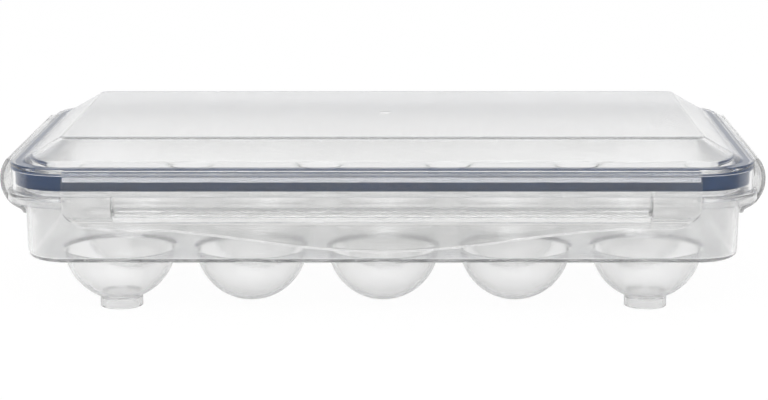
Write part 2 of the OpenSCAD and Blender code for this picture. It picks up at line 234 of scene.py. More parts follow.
class Outline:
    """The tray's outline as even spans, each starting where the one before it ends.

    A point at a distance out from the outline is its foot plus out times its normal. spans holds the
    first and last number of each span, so that the deck's cells can share the outline's points.
    """

    def __init__(self, half_x, half_y, corner, pitch_x, pitch_y):
        cx, cy = half_x - corner, half_y - corner
        xs = [(k - (COLUMNS - 2) / 2) * pitch_x for k in range(COLUMNS - 1)]
        ys = [(k - (ROWS - 2) / 2) * pitch_y for k in range(ROWS - 1)]
        feet, normals, arcs = [], [], []
        self.spans = {}

        def straight(name, start, end, normal, count=CELL_STEPS):
            first = sum(map(len, feet))
            t = np.arange(count)[:, None] / count
            feet.append(np.array(start) * (1 - t) + np.array(end) * t)
            normals.append(np.repeat([normal], count, 0))
            arcs.append(np.zeros(count))
            self.spans[name] = (first, first + count)

        def bend(name, centre, quarter, count=BEND_STEPS):
            first = sum(map(len, feet))
            inner = np.linspace(0.035, 0.965, count)
            t = (quarter + np.concatenate([[0.0], [0.02], inner, [0.98]])) * math.pi / 2
            n = np.stack([np.cos(t), np.sin(t)], 1)
            feet.append(np.array(centre) + corner * n)
            normals.append(n)
            arcs.append(np.concatenate([[0.0], np.ones(count + 2)]))
            self.spans[name] = (first, first + count + 3)

        for k in range(ROWS - 2):
            straight(f"right_{k + 1}", (half_x, ys[k]), (half_x, ys[k + 1]), (1, 0))
        straight("right_up", (half_x, ys[-1]), (half_x, cy), (1, 0), 10)
        bend("bend_0", (cx, cy), 0)
        straight("back_in", (cx, half_y), (xs[-1], half_y), (0, 1), 12)
        for k in range(COLUMNS - 2):
            straight(f"back_{COLUMNS - 2 - k}", (xs[-1 - k], half_y), (xs[-2 - k], half_y), (0, 1))
        straight("back_out", (xs[0], half_y), (-cx, half_y), (0, 1), 12)
        bend("bend_1", (-cx, cy), 1)
        straight("left_down", (-half_x, cy), (-half_x, ys[-1]), (-1, 0), 10)
        for k in range(ROWS - 2):
            straight(f"left_{ROWS - 2 - k}", (-half_x, ys[-1 - k]), (-half_x, ys[-2 - k]), (-1, 0))
        straight("left_low", (-half_x, ys[0]), (-half_x, -cy), (-1, 0), 10)
        bend("bend_2", (-cx, -cy), 2)
        straight("front_in", (-cx, -half_y), (xs[0], -half_y), (0, -1), 12)
        for k in range(COLUMNS - 2):
            straight(f"front_{k + 1}", (xs[k], -half_y), (xs[k + 1], -half_y), (0, -1))
        straight("front_out", (xs[-1], -half_y), (cx, -half_y), (0, -1), 12)
        bend("bend_3", (cx, -cy), 3)
        straight("right_low", (half_x, -cy), (half_x, ys[0]), (1, 0), 10)
        self.feet = np.concatenate(feet)
        self.normals = np.concatenate(normals).astype(float)
        self.in_bend = np.concatenate(arcs)

    def at(self, out):
        """The outline's points at a distance out, one number or one for each point."""
        return self.feet + self.normals * np.reshape(out, (-1, 1))

    def part(self, names, out):
        """The points of some spans that follow each other, without the last one's end."""
        line = self.at(out)
        return np.concatenate([line[slice(*self.spans[n])] for n in names])


def carried(outline, section):
    """A section carried round the outline: a row for each (out, height), which are numbers or hold one
    value for each point."""
    count = len(outline.feet)
    return np.stack([np.column_stack([outline.at(u), np.broadcast_to(z, count)]) for u, z in section])


def grid_faces(rows, columns, first, closed):
    """Quads of a grid of points, numbered row by row, closed along its columns if asked."""
    i = np.arange(rows - 1)[:, None]
    j = np.arange(columns if closed else columns - 1)[None, :]
    k = (j + 1) % columns
    corners = i * columns + j, i * columns + k, (i + 1) * columns + k, (i + 1) * columns + j
    return np.stack(np.broadcast_arrays(*corners), -1).reshape(-1, 4) + first


def moulded(name, grids, material, body, nodes):
    """One closed mesh out of several grids: points that meet are merged and faces turned outward."""
    points, faces, first = [], [], 0
    for grid, closed in grids:
        rows, columns = grid.shape[:2]
        points.append(grid.reshape(-1, 3))
        faces.append(grid_faces(rows, columns, first, closed))
        first += rows * columns
    points, faces = np.concatenate(points), np.concatenate(faces)
    mesh = bpy.data.meshes.new(name)
    mesh.from_pydata(points.tolist(), [], faces.tolist())
    work = bmesh.new()
    work.from_mesh(mesh)
    bmesh.ops.remove_doubles(work, verts=work.verts, dist=MERGE)
    bmesh.ops.dissolve_degenerate(work, edges=work.edges, dist=MERGE / 2)
    bmesh.ops.recalc_face_normals(work, faces=work.faces)
    open_edges = sum(1 for e in work.edges if len(e.link_faces) != 2)
    work.to_mesh(mesh)
    work.free()
    mesh.polygons.foreach_set("use_smooth", np.ones(len(mesh.polygons), bool))
    if open_edges:
        print(f"{name}: {open_edges} edges aren't closed")
    piece = bpy.data.objects.new(name, mesh)
    bpy.context.scene.collection.objects.link(piece)
    mesh.materials.append(material)
    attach(piece, body)
    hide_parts(*nodes)
    return piece


def joined(tree, operation, *values):
    """A maths node of the given operation, fed by sockets or plain numbers."""
    node = tree.nodes.new("ShaderNodeMath")
    node.operation = operation
    for socket, value in zip(node.inputs, values):
        if isinstance(value, (int, float)):
            socket.default_value = value
        else:
            tree.links.new(value, socket)
    return node.outputs[0]


def ramp(tree, value, low, high, full=1.0):
    """A value that runs from 0 at low to full at high and stays level past them."""
    rise = tree.nodes.new("ShaderNodeMapRange")
    rise.inputs["From Min"].default_value = low
    rise.inputs["From Max"].default_value = high
    rise.inputs["To Max"].default_value = full
    tree.links.new(value, rise.inputs["Value"])
    return rise.outputs["Result"]


def moulding_texture():
    """The node group of moulded plastic: faint flow and grain as colour, roughness and height."""
    found = bpy.data.node_groups.get("Moulding texture")
    if found:
        return found
    group = bpy.data.node_groups.new("Moulding texture", "ShaderNodeTree")
    face = group.interface
    face.new_socket("Vector", in_out="INPUT", socket_type="NodeSocketVector")
    face.new_socket("Tint", in_out="INPUT", socket_type="NodeSocketColor")
    for name, default in (
        ("Flow scale", 20.0), ("Grain scale", 900.0), ("Rough low", 0.05), ("Rough high", 0.12), ("Cloud", 0.02),
    ):
        face.new_socket(name, in_out="INPUT", socket_type="NodeSocketFloat").default_value = default
    for name, kind in (("Colour", "Color"), ("Roughness", "Float"), ("Height", "Float")):
        face.new_socket(name, in_out="OUTPUT", socket_type=f"NodeSocket{kind}")
    nodes, links = group.nodes, group.links
    entry, leave = nodes.new("NodeGroupInput"), nodes.new("NodeGroupOutput")
    flow, grain = nodes.new("ShaderNodeTexNoise"), nodes.new("ShaderNodeTexNoise")
    for noise, scale, detail in ((flow, "Flow scale", 3.0), (grain, "Grain scale", 1.0)):
        noise.inputs["Detail"].default_value = detail
        links.new(entry.outputs["Vector"], noise.inputs["Vector"])
        links.new(entry.outputs[scale], noise.inputs["Scale"])
    rough = nodes.new("ShaderNodeMapRange")
    rough.inputs["From Min"].default_value = 0.3
    rough.inputs["From Max"].default_value = 0.7
    links.new(flow.outputs["Fac"], rough.inputs["Value"])
    links.new(entry.outputs["Rough low"], rough.inputs["To Min"])
    links.new(entry.outputs["Rough high"], rough.inputs["To Max"])
    cloud = joined(group, "MULTIPLY", flow.outputs["Fac"], entry.outputs["Cloud"])
    colour = nodes.new("ShaderNodeVectorMath")
    colour.operation = "SCALE"
    links.new(entry.outputs["Tint"], colour.inputs[0])
    links.new(joined(group, "SUBTRACT", 1.0, cloud), colour.inputs["Scale"])
    height = joined(group, "MULTIPLY_ADD", grain.outputs["Fac"], 0.25, flow.outputs["Fac"])
    links.new(colour.outputs[0], leave.inputs["Colour"])
    links.new(rough.outputs["Result"], leave.inputs["Roughness"])
    links.new(height, leave.inputs["Height"])
    return group


def textured(name, tint_value, values, bump_strength):
    """A Principled material whose colour, roughness and normal come from the moulding texture."""
    material = bpy.data.materials.get(name)
    if material:
        return material, None
    material = bpy.data.materials.new(name)
    material.use_nodes = True
    nodes, links = material.node_tree.nodes, material.node_tree.links
    shader = nodes["Principled BSDF"]
    place, texture = nodes.new("ShaderNodeTexCoord"), nodes.new("ShaderNodeGroup")
    bump = nodes.new("ShaderNodeBump")
    texture.node_tree = moulding_texture()
    texture.inputs["Tint"].default_value = (*tint_value, 1.0)
    for key, value in values.items():
        texture.inputs[key].default_value = value
    bump.inputs["Strength"].default_value = bump_strength
    bump.inputs["Distance"].default_value = 0.2 * MM
    links.new(place.outputs["Object"], texture.inputs["Vector"])
    links.new(texture.outputs["Colour"], shader.inputs["Base Color"])
    links.new(texture.outputs["Roughness"], shader.inputs["Roughness"])
    links.new(texture.outputs["Height"], bump.inputs["Height"])
    links.new(bump.outputs["Normal"], shader.inputs["Normal"])
    return material, shader


def clear_plastic(name, tint_value, rough_low, rough_high, cloud, bump, absorption):
    """Clear or frosted plastic that light passes through and bends in. Its absorption for each metre
    darkens the edges, where light runs far through it."""
    values = {"Flow scale": 26.0, "Grain scale": 1400.0, "Rough low": rough_low, "Rough high": rough_high}
    material, shader = textured(name, tint_value, {**values, "Cloud": cloud}, bump)
    if shader:
        nodes = material.node_tree.nodes
        shader.inputs["Transmission Weight"].default_value = 1.0
        shader.inputs["IOR"].default_value = 1.49
        inside = nodes.new("ShaderNodeVolumeAbsorption")
        inside.inputs["Color"].default_value = (0.0, 0.0, 0.0, 1.0)
        inside.inputs["Density"].default_value = absorption
        material.node_tree.links.new(inside.outputs[0], nodes["Material Output"].inputs["Volume"])
    return material


def satin_by_height(material, *bands):
    """Adds roughness by height: each band is the height where it starts to act, the height where it acts in
    full and the roughness that it then adds."""
    tree = material.node_tree
    if "Satin height" in tree.nodes:
        return material
    split = tree.nodes.new("ShaderNodeSeparateXYZ")
    split.name = "Satin height"
    tree.links.new(tree.nodes["Texture Coordinate"].outputs["Object"], split.inputs[0])
    rough = tree.nodes["Group"].outputs["Roughness"]
    for start_z, full_z, roughness in bands:
        rough = joined(tree, "ADD", rough, ramp(tree, split.outputs["Z"], start_z, full_z, roughness))
    tree.links.new(rough, tree.nodes["Principled BSDF"].inputs["Roughness"])
    return material


def lid_plastic():
    """Clear plastic of the lid: polished round the rim, satin on the slopes, and less so on the panel."""
    ledge, top = settings("egg_lid").ledge_z, LID_HIGH.z
    material = clear_plastic(
        "lid_clear_plastic", settings("egg_finish").lid,
        rough_low=0.015, rough_high=0.04, cloud=0.01, bump=0.003, absorption=1.5,
    )
    return satin_by_height(material, (ledge + 0.1 * MM, ledge + 0.8 * MM, 0.12), (top - 1.0 * MM, top, -0.08))


def flap_plastic():
    """Clear plastic of the flaps, tinted darker than the lid's as painted shade: polished over the bulge, satin
    on the lower plate.
    """
    bulge = settings("egg_flap").bulge_z
    material = clear_plastic(
        "flap_clear_plastic_painted_shade", settings("egg_finish").flap,
        rough_low=0.02, rough_high=0.05, cloud=0.012, bump=0.003, absorption=5.0,
    )
    return satin_by_height(material, (bulge, bulge - 5.0 * MM, 0.1))


def tray_plastic():
    """Frosted plastic of the tray, a little milky."""
    material = clear_plastic(
        "tray_frosted_plastic", settings("egg_finish").tray,
        rough_low=0.10, rough_high=0.15, cloud=0.02, bump=0.03, absorption=1.0,
    )
    material.node_tree.nodes["Principled BSDF"].inputs["Transmission Weight"].default_value = 0.94
    return material


def seal_silicone():
    """Satin navy silicone."""
    values = {"Flow scale": 60.0, "Grain scale": 2600.0, "Rough low": 0.38, "Rough high": 0.5, "Cloud": 0.25}
    material, shader = textured("navy_silicone", settings("egg_finish").seal, values, bump_strength=0.12)
    if shader:
        shader.inputs["IOR"].default_value = 1.41
        shader.inputs["Specular IOR Level"].default_value = 0.15
    return material


def tray_outline():
    """The outline that the tray, the lid and the seal share."""
    t = settings("egg_tray")
    return Outline(t.half_x, t.half_y, t.corner, t.pitch_x, t.pitch_y)


def cup_inside(t, deck_top):
    """Half section of a cup's inside, from its pole up the ball and over the lip, as (radius, height)."""
    lip_z = deck_top - t.lip_round
    lip_r = math.sqrt((t.ball + t.lip_round) ** 2 - (lip_z - t.ball_z) ** 2)
    touch = math.atan2(lip_z - t.ball_z, lip_r)
    ball = arc((0.0, t.ball_z), t.ball, -math.pi / 2, touch, 20)
    lip = arc((lip_r, lip_z), t.lip_round, math.pi + touch, math.pi / 2, 7)
    return np.concatenate([ball, lip[1:]])


def cup_outside(t, deck_low, foot):
    """Half section of a cup's outside, with a foot ring if asked, as (radius, height)."""
    ball = t.ball + t.cup_wall
    root_z = deck_low - t.under_round
    root_r = math.sqrt((ball + t.under_round) ** 2 - (root_z - t.ball_z) ** 2)
    touch = math.atan2(root_z - t.ball_z, root_r)
    root = arc((root_r, root_z), t.under_round, math.pi + touch, math.pi / 2, 5)
    if not foot:
        return np.concatenate([arc((0.0, t.ball_z), ball, -math.pi / 2, touch, 20), root[1:]])
    outer = (FOOT_HIGH.x - FOOT_LOW.x) / 2
    inner = outer - t.foot_wall

    def ball_z(r):
        return t.ball_z - math.sqrt(ball ** 2 - r ** 2)

    start, end = -math.acos(inner * 0.86 / ball), -math.acos(outer * 1.1 / ball)
    under = arc((0.0, t.ball_z), ball, -math.pi / 2, start, 5)
    ring = rounded_path([
        (*under[-1], 0), (inner, ball_z(inner), 0.5 * MM), (inner, FOOT_LOW.z, t.foot_round),
        (outer, FOOT_LOW.z, t.foot_round), (outer, ball_z(outer), 0.5 * MM),
        (ball * math.cos(end), t.ball_z + ball * math.sin(end), 0),
    ], 3, 0.15 * MM)
    upper = arc((0.0, t.ball_z), ball, end, touch, 16)
    return np.concatenate([under, ring[1:-1], upper, root[1:]])


def cell_edge(outline, column, row, out, t):
    """The edge of the piece of deck round one cup, counted round from its lower right corner.

    Its inner sides are even steps between the cells' corners, and its outer sides are the outline's own
    points, so that neighbours share every point.
    """
    x0, x1 = ((column + k - COLUMNS / 2) * t.pitch_x for k in (0, 1))
    y0, y1 = ((row + k - ROWS / 2) * t.pitch_y for k in (0, 1))
    left, right, front, back = column == 0, column == COLUMNS - 1, row == 0, row == ROWS - 1
    x0 = -t.half_x - out if left else x0
    x1 = t.half_x + out if right else x1
    y0 = -t.half_y - out if front else y0
    y1 = t.half_y + out if back else y1

    def inner(start, end):
        k = np.arange(CELL_STEPS)[:, None] / CELL_STEPS
        return np.array(start) * (1 - k) + np.array(end) * k

    turns = (x1, y0), (x1, y1), (x0, y1), (x0, y0)
    sides = [(turns[k], turns[(k + 1) % 4]) for k in range(4)]
    # For each corner, the first of its two inner sides and the outline's spans that it takes.
    corners = {
        (True, True): (2, "right_up", "bend_0", "back_in"),
        (False, True): (3, "back_out", "bend_1", "left_down"),
        (False, False): (0, "left_low", "bend_2", "front_in"),
        (True, False): (1, "front_out", "bend_3", "right_low"),
    }
    if (left or right) and (front or back):
        first, *curved = corners[(right, back)]
        flat = inner(*sides[first]), inner(*sides[(first + 1) % 4])
        return np.concatenate([outline.part(curved, out), *flat])
    spans = [f"{side}_{k}" for side, k in zip(SIDES, (row, column, row, column))]
    return np.concatenate([
        outline.part([name], out) if outer else inner(*side)
        for outer, name, side in zip((right, back, left, front), spans, sides)
    ])


def cell(section, edge, centre):
    """A cup and the deck round it: the half section turned about the cup's axis along the directions of
    the edge's points, then carried straight out to the edge."""
    ways = edge - centre
    distance = np.linalg.norm(ways, axis=1, keepdims=True)
    ways = ways / distance
    turned = centre + section[:, :1, None] * ways[None]
    lip = turned[-1]
    flat = np.stack([lip + (edge - lip) * k for k in (0.12, 0.5, 1.0)])
    plan = np.concatenate([turned, flat])
    heights = np.concatenate([section[:, 1], np.repeat(section[-1, 1], 3)])
    return np.concatenate([plan, np.broadcast_to(heights[:, None, None], (*plan.shape[:2], 1))], 2)


def wall_rows(outline, t, deck_top, deck_low, inner_out, base_out):
    """The wall from the deck's top over the rim and flange down to the deck's underside.

    The flange's points stand out only in the outline's bends: behind the flaps they fold back to the
    catch rib.
    """
    rim_z, flange_out = WALL_HIGH.z, WALL_HIGH.x - t.half_x
    shelf_low, lip_in = t.flange_top - t.flange_thick, flange_out - t.flange_thick
    inside = rounded_path([
        (inner_out, deck_top, 0), (-t.draft - t.wall, deck_top, t.inner_round), (-t.wall, t.flange_z, 0),
        (-t.wall, rim_z, 0.55 * MM), (0.0, rim_z, 0.55 * MM), (0.0, t.flange_top, 0.35 * MM),
        (flange_out / 2, t.flange_top, 0),
    ], 4, 0.3 * MM)[:-1]
    flange = rounded_path([
        (flange_out / 2, t.flange_top, 0), (flange_out, t.flange_top, 0.6 * MM),
        (flange_out, t.flange_z, 0.4 * MM), (lip_in, t.flange_z, 0.4 * MM), (lip_in, shelf_low, 0.4 * MM),
        (t.catch_rib, shelf_low, 0.3 * MM), (t.catch_rib, (shelf_low + t.flange_z) / 2, 0),
    ], 4, 0.2 * MM)
    outside = rounded_path([
        (t.catch_rib, (shelf_low + t.flange_z) / 2, 0), (t.catch_rib, t.flange_z, 0.3 * MM),
        (0.0, t.flange_z, 0.3 * MM), (-t.draft, deck_low, t.base_round), (base_out, deck_low, 0),
    ], 5, 0.3 * MM)[1:]
    fold = np.linspace(0.0, 1.0, len(flange))
    folded = np.stack([np.minimum(flange[:, 0], t.catch_rib),
                       t.flange_top + (flange[-1, 1] - t.flange_top) * fold], 1)
    shelf = folded[..., None] + (flange - folded)[..., None] * outline.in_bend
    return np.concatenate([carried(outline, part) for part in (inside, shelf, outside)])


def tray_grids():
    """Every grid of the tray: fifteen cups from above and from below, and the wall round them."""
    t = settings("egg_tray")
    outline = tray_outline()
    deck_top, deck_low = DECK_HIGH.z, DECK_LOW.z
    inner_out, base_out = -t.draft - t.wall - 1.06 * t.inner_round, -t.draft - 1.04 * t.base_round
    grids = []
    for row in range(ROWS):
        for column in range(COLUMNS):
            centre = np.array([(column - (COLUMNS - 1) / 2) * t.pitch_x, (row - (ROWS - 1) / 2) * t.pitch_y])
            foot = row in (0, ROWS - 1) and column in (0, COLUMNS - 1)
            above = cell(cup_inside(t, deck_top), cell_edge(outline, column, row, inner_out, t), centre)
            below = cell(cup_outside(t, deck_low, foot), cell_edge(outline, column, row, base_out, t), centre)
            grids += [(above, True), (below, True)]
    grids.append((wall_rows(outline, t, deck_top, deck_low, inner_out, base_out), True))
    return grids


def panel_rings(outline, out, height, gate, mark):
    """Rings from the panel's centre to its edge: circles by the moulding gate, then even steps outward."""
    edge = outline.at(out)
    way = edge / np.linalg.norm(edge, axis=1, keepdims=True)
    radii = gate * np.array([0.0, 0.35, 0.7, 0.9, 1.0, 1.25, 1.7])
    depths = mark * np.array([1.0, 0.9, 0.75, 0.3, 0.0, 0.0, 0.0])
    rings = [np.column_stack([r * way, np.full(len(edge), height + d)]) for r, d in zip(radii, depths)]
    start = radii[-1] * way
    for k in (0.15, 0.35, 0.6, 0.85, 0.97, 1.0):
        rings.append(np.column_stack([start + (edge - start) * k, np.full(len(edge), height)]))
    return np.stack(rings)


def lid_grids():
    """The lid as one surface: the panel's top, down the slope and skirt, round the groove and rib, and back
    under the panel."""
    t, d = settings("egg_tray"), settings("egg_lid")
    outline = tray_outline()
    top, ledge = LID_HIGH.z, d.ledge_z
    foot = d.skirt_out - d.ledge_width
    edge = foot - d.slope_run
    rise = top - ledge
    depth = d.thick * math.hypot(d.slope_run, rise) / d.slope_run
    groove = ledge - d.ledge_thick
    rib_out = -t.wall - d.rib_gap
    rib_in = rib_out - d.skirt_wall
    turn = foot - (top - d.thick + depth - ledge) * d.slope_run / rise
    under_slope = ledge + (foot - rib_in) * rise / d.slope_run - depth
    in_out = edge - 1.6 * MM
    section = rounded_path([
        (in_out, top, 0), (edge, top, d.panel_round), (foot, ledge, 0.9 * MM), (d.skirt_out, ledge, 0.6 * MM),
        (d.skirt_out, d.skirt_low, 0.35 * MM), (d.skirt_out - d.skirt_wall, d.skirt_low, 0.35 * MM),
        (d.skirt_out - d.skirt_wall, groove, 0.4 * MM), (rib_out, groove, 0.4 * MM),
        (rib_out, LID_LOW.z, 0.5 * MM), (rib_in, LID_LOW.z, 0.5 * MM), (rib_in, under_slope, 1.0 * MM),
        (turn, top - d.thick, d.panel_round - d.thick), (in_out, top - d.thick, 0),
    ], 5, 0.35 * MM)
    sides = carried(outline, section)
    above = panel_rings(outline, in_out, top, d.gate, -0.12 * MM)
    below = panel_rings(outline, in_out, top - d.thick, d.gate, -0.25 * MM)
    return [(above, True), (sides, True), (below[::-1], True)]


def seal_grids():
    """The seal: a rounded section carried round the outline. Its top is pressed flat into the groove, which
    it touches without any air between, so that its colour shows through the ledge."""
    t, d = settings("egg_tray"), settings("egg_lid")
    low_out = -t.wall - d.rib_gap + d.seal_gap
    high_out = SEAL_HIGH.x - t.half_x
    middle = (low_out + high_out) / 2
    top = d.ledge_z - d.ledge_thick + d.seal_bite
    low_round, top_round = d.seal_round, d.seal_round / 4
    section = rounded_path([
        (middle, top, 0), (high_out, top, top_round), (high_out, SEAL_LOW.z, low_round),
        (low_out, SEAL_LOW.z, low_round), (low_out, top, top_round), (middle, top, 0),
    ], 6, 0.2 * MM)
    return [(carried(tray_outline(), section), True)]


def side_frame(side):
    """A side's outward way, the way along it and the skirt's distance from the middle."""
    turn = SIDES.index(side) * math.pi / 2
    out = np.array([round(math.cos(turn)), round(math.sin(turn))], float)
    along = np.array([-out[1], out[0]])
    reach = LID_HIGH.x if side in ("right", "left") else LID_HIGH.y
    return out, along, reach


def placed(side, along_value, section):
    """Section points (out, height) set at places along a side: place i has the section's row i."""
    out, along, reach = side_frame(side)
    plan = (reach + section[..., :1]) * out + along_value[:, None, None] * along
    return np.concatenate([plan, section[..., 1:]], -1)


def flap_face(z, f, radius, plate_out, sweep):
    """How far a flap's face stands out at height z: an arc of that radius from the hinge down, which an
    arc of the sweep radius turns into the upright plate."""
    centre_out = f.bulge_out - f.bulge
    across = plate_out + sweep - centre_out
    sweep_z = f.bulge_z - math.sqrt((radius + sweep) ** 2 - across ** 2)
    touch_z = f.bulge_z + (sweep_z - f.bulge_z) * radius / (radius + sweep)
    bow = centre_out + np.sqrt(np.maximum(radius ** 2 - (z - f.bulge_z) ** 2, 0.0))
    turn = plate_out + sweep - np.sqrt(np.maximum(sweep ** 2 - (z - sweep_z) ** 2, 0.0))
    return np.where(z >= touch_z, bow, np.where(z >= sweep_z, turn, plate_out))


def flap_sections(f, low, gripped):
    """The closed section of a flap for each bottom height in low, with its ridge and grip where gripped.

    Down the outer face, round the bottom edge, up the inner face and round the hinge web's seat.
    """
    hinge_z = settings("egg_lid").ledge_z - f.web_drop
    low = low[:, None] + f.edge
    gripped = gripped[:, None]
    share = np.linspace(0.0, 1.0, BOW_ROWS)[None, :]
    upper = hinge_z - (hinge_z - np.maximum(f.grip_top, low + 6.0 * MM * (low > f.end_z + 2 * MM))) * share
    steps = np.array([0.06, 0.2, 0.34, 0.5]) * MM
    start = upper[:, -1:]
    step = start - steps[None, :] * np.minimum((start - low) / (1.0 * MM), 1.0)
    plate_rows = FACE_ROWS - BOW_ROWS - len(steps)
    lower = step[:, -1:] - (step[:, -1:] - low) * np.linspace(0.0, 1.0, plate_rows + 1)[None, 1:]
    heights = np.concatenate([upper, step, lower], 1)
    plain = flap_face(heights, f, f.bulge, -f.foot_out, f.sweep)
    proud = flap_face(heights, f, f.bulge + f.grip_step, -f.foot_out + f.grip_step, f.sweep - f.grip_step)
    raised = np.concatenate([np.zeros(BOW_ROWS), [0.12, 0.5, 0.88, 1.0], np.ones(plate_rows)]) * gripped
    outer = np.stack([plain + (proud - plain) * raised, heights], -1)

    inner_plate = -f.foot_out - f.thick
    bow_radius = f.bulge - f.thick

    def inside(z):
        return flap_face(z, f, bow_radius, inner_plate, f.sweep + f.thick)

    top_z = np.full_like(low, hinge_z - f.web - f.web_gap)
    plain_z = top_z - (top_z - low) * np.linspace(0.0, 1.0, FACE_ROWS)[None, :]
    plain_inner = np.stack([inside(plain_z), plain_z], -1)
    seat = f.ridge_top
    bow_z = top_z - (top_z - seat - 0.25 * MM) * np.linspace(0.0, 1.0, SEAT_ROWS)[None, :]
    shelf_out = float(inside(np.array(seat)))
    ridge = rounded_path([
        (float(inside(np.array(seat + 0.25 * MM))), seat + 0.25 * MM, 0), (shelf_out, seat, 0.2 * MM),
        (inner_plate, seat, 0.35 * MM), (inner_plate, f.ridge_low, 0.35 * MM),
        (float(inside(np.array(f.ridge_low))), f.ridge_low, 0.2 * MM),
        (float(inside(np.array(f.ridge_low - 0.5 * MM))), f.ridge_low - 0.5 * MM, 0),
    ], 2)[1:]
    tail_count = FACE_ROWS - SEAT_ROWS - len(ridge)
    tail_z = ridge[-1, 1] - (ridge[-1, 1] - low) * np.linspace(0.0, 1.0, tail_count + 1)[None, 1:]
    count = len(low)
    ridged = np.concatenate([
        np.stack([inside(bow_z), bow_z], -1), np.broadcast_to(ridge, (count, *ridge.shape)),
        np.stack([inside(tail_z), tail_z], -1),
    ], 1)
    inner = plain_inner + (ridged - plain_inner) * gripped[..., None]

    bottom_turn = np.linspace(0.0, math.pi, 7)[None, 1:-1]
    foot_out, foot_in = outer[:, -1:, 0], inner[:, -1:, 0]
    bottom = np.stack([
        (foot_out + foot_in) / 2 + (foot_out - foot_in) / 2 * np.cos(bottom_turn),
        low - f.edge * np.sin(bottom_turn),
    ], -1)
    web_seat = arc((f.web_out, hinge_z), f.web + f.web_gap, -math.pi / 2, 0.0, 7)[1:]
    web_seat = np.broadcast_to(web_seat, (count, *web_seat.shape))
    return np.concatenate([outer, bottom, inner[:, ::-1], web_seat], 1), outer.shape[1], bottom.shape[1]


def flap_places(f, half):
    """Places along a flap and how far its section is drawn in at each: close together at the rounded ends,
    the corner arcs and the ends of the grip."""
    end = np.array([0.0, 0.08, 0.25, f.edge / MM]) * MM
    drawn = np.array([0.0, 0.55, 0.86, 1.0])
    corner = f.corner * (1 - np.cos(np.linspace(0.35, math.pi / 2, 12)))
    grip = f.plain + np.array([-0.25, -0.1, 0.1, 0.25, 1.0]) * MM
    flat = np.linspace(f.corner, f.plain - 1.2 * MM, 4)[1:]
    middle = np.linspace(f.plain + 2.0 * MM, half, 24)
    from_end = np.concatenate([end, corner[corner > f.edge * 1.2], flat, grip, middle])
    share = np.concatenate([drawn, np.ones(len(from_end) - len(drawn))])
    gripped = np.clip((from_end - f.plain + 0.25 * MM) / (0.5 * MM), 0.0, 1.0)
    places = np.concatenate([-half + from_end, (half - from_end)[-2::-1]])
    return places, np.concatenate([share, share[-2::-1]]), np.concatenate([gripped, gripped[-2::-1]])


def flap_bottom(places, half, f, crown):
    """Height of a flap's bottom edge: level, with a cosine crown in the middle and an arc at each end."""
    reach = half - 2 * f.corner
    hang = np.where(np.abs(places) < reach, crown * (1 + np.cos(np.pi * places / reach)) / 2, 0.0)
    past = np.clip(np.abs(places) - (half - f.corner), 0.0, f.corner)
    return f.end_z - hang + f.corner - np.sqrt(f.corner ** 2 - past ** 2)


def flap_grids(side):
    """A flap: its section at each place along the side, drawn in to its own middle line at the two ends."""
    f = settings("egg_flap")
    low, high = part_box(f"{side}_flap")
    half = (high.x - low.x) / 2 if side in ("front", "back") else (high.y - low.y) / 2
    crown = f.end_z - low.z
    places, share, gripped = flap_places(f, half)
    sections, outer_count, bottom_count = flap_sections(f, flap_bottom(places, half, f, crown), gripped)
    outer = sections[:, :outer_count]
    inner = sections[:, outer_count + bottom_count:outer_count + bottom_count + outer_count][:, ::-1]
    middle = (outer + inner) / 2
    ends = middle[:, -1:], middle[:, :1]
    caps = sections.shape[1] - 2 * outer_count - bottom_count
    line = np.concatenate([
        middle, np.repeat(ends[0], bottom_count, 1), middle[:, ::-1], np.repeat(ends[1], caps, 1),
    ], 1)
    sections = line + (sections - line) * share[:, None, None]
    return [(placed(side, places, sections), True)]


def web_grids(side):
    """A living hinge: a round web and its neck along the hinge line, closed at both ends."""
    f, d = settings("egg_flap"), settings("egg_lid")
    low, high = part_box(f"{side}_hinge_web")
    half = (high.x - low.x) / 2 if side in ("front", "back") else (high.y - low.y) / 2
    hinge_z = d.ledge_z - f.web_drop
    open_angle = math.pi - math.asin(f.neck / 2 / f.web)
    bead = arc((f.web_out, hinge_z), f.web, -open_angle, open_angle, 19)
    neck_in = 0.01 * MM
    neck = np.array([(neck_in, hinge_z + f.neck / 2), (neck_in, hinge_z - f.neck / 2)])
    section = np.concatenate([bead, neck])
    middle = np.array([f.web_out * 0.6, hinge_z])
    share = np.array([0.0, 0.6, 0.9, 1.0, 1.0, 1.0, 0.9, 0.6, 0.0])
    places = np.array([-half, -half + 0.04 * MM, -half + 0.12 * MM, -half + 0.3 * MM, 0.0,
                       half - 0.3 * MM, half - 0.12 * MM, half - 0.04 * MM, half])
    sections = middle + (section - middle)[None] * share[:, None, None]
    return [(placed(side, places, sections), True)]


class EGGKEEPER_OT_tray(bpy.types.Operator):
    """Builds the tray: one moulding of wall, flange, deck, cups and ring feet."""

    bl_idname = "egg_keeper.tray"
    bl_label = "Build tray"

    def execute(self, context):
        cups = [f"cup_{row}_{column + 1}" for row in ROW_NAMES for column in range(COLUMNS)]
        moulded("tray_moulding", tray_grids(), tray_plastic(), "tray",
                ["tray_wall", "tray_deck", *cups, *FOOT_NODES])
        return {"FINISHED"}


class EGGKEEPER_OT_lid(bpy.types.Operator):
    """Builds the clear lid with its raised panel, skirt and seal groove."""

    bl_idname = "egg_keeper.lid"
    bl_label = "Build lid"

    def execute(self, context):
        moulded("lid_moulding", lid_grids(), lid_plastic(), "lid", ["lid"])
        return {"FINISHED"}


class EGGKEEPER_OT_seal(bpy.types.Operator):
    """Builds the silicone seal in the lid's groove."""

    bl_idname = "egg_keeper.seal"
    bl_label = "Build seal"

    def execute(self, context):
        moulded("seal_ring", seal_grids(), seal_silicone(), "lid", ["lid_seal"])
        return {"FINISHED"}


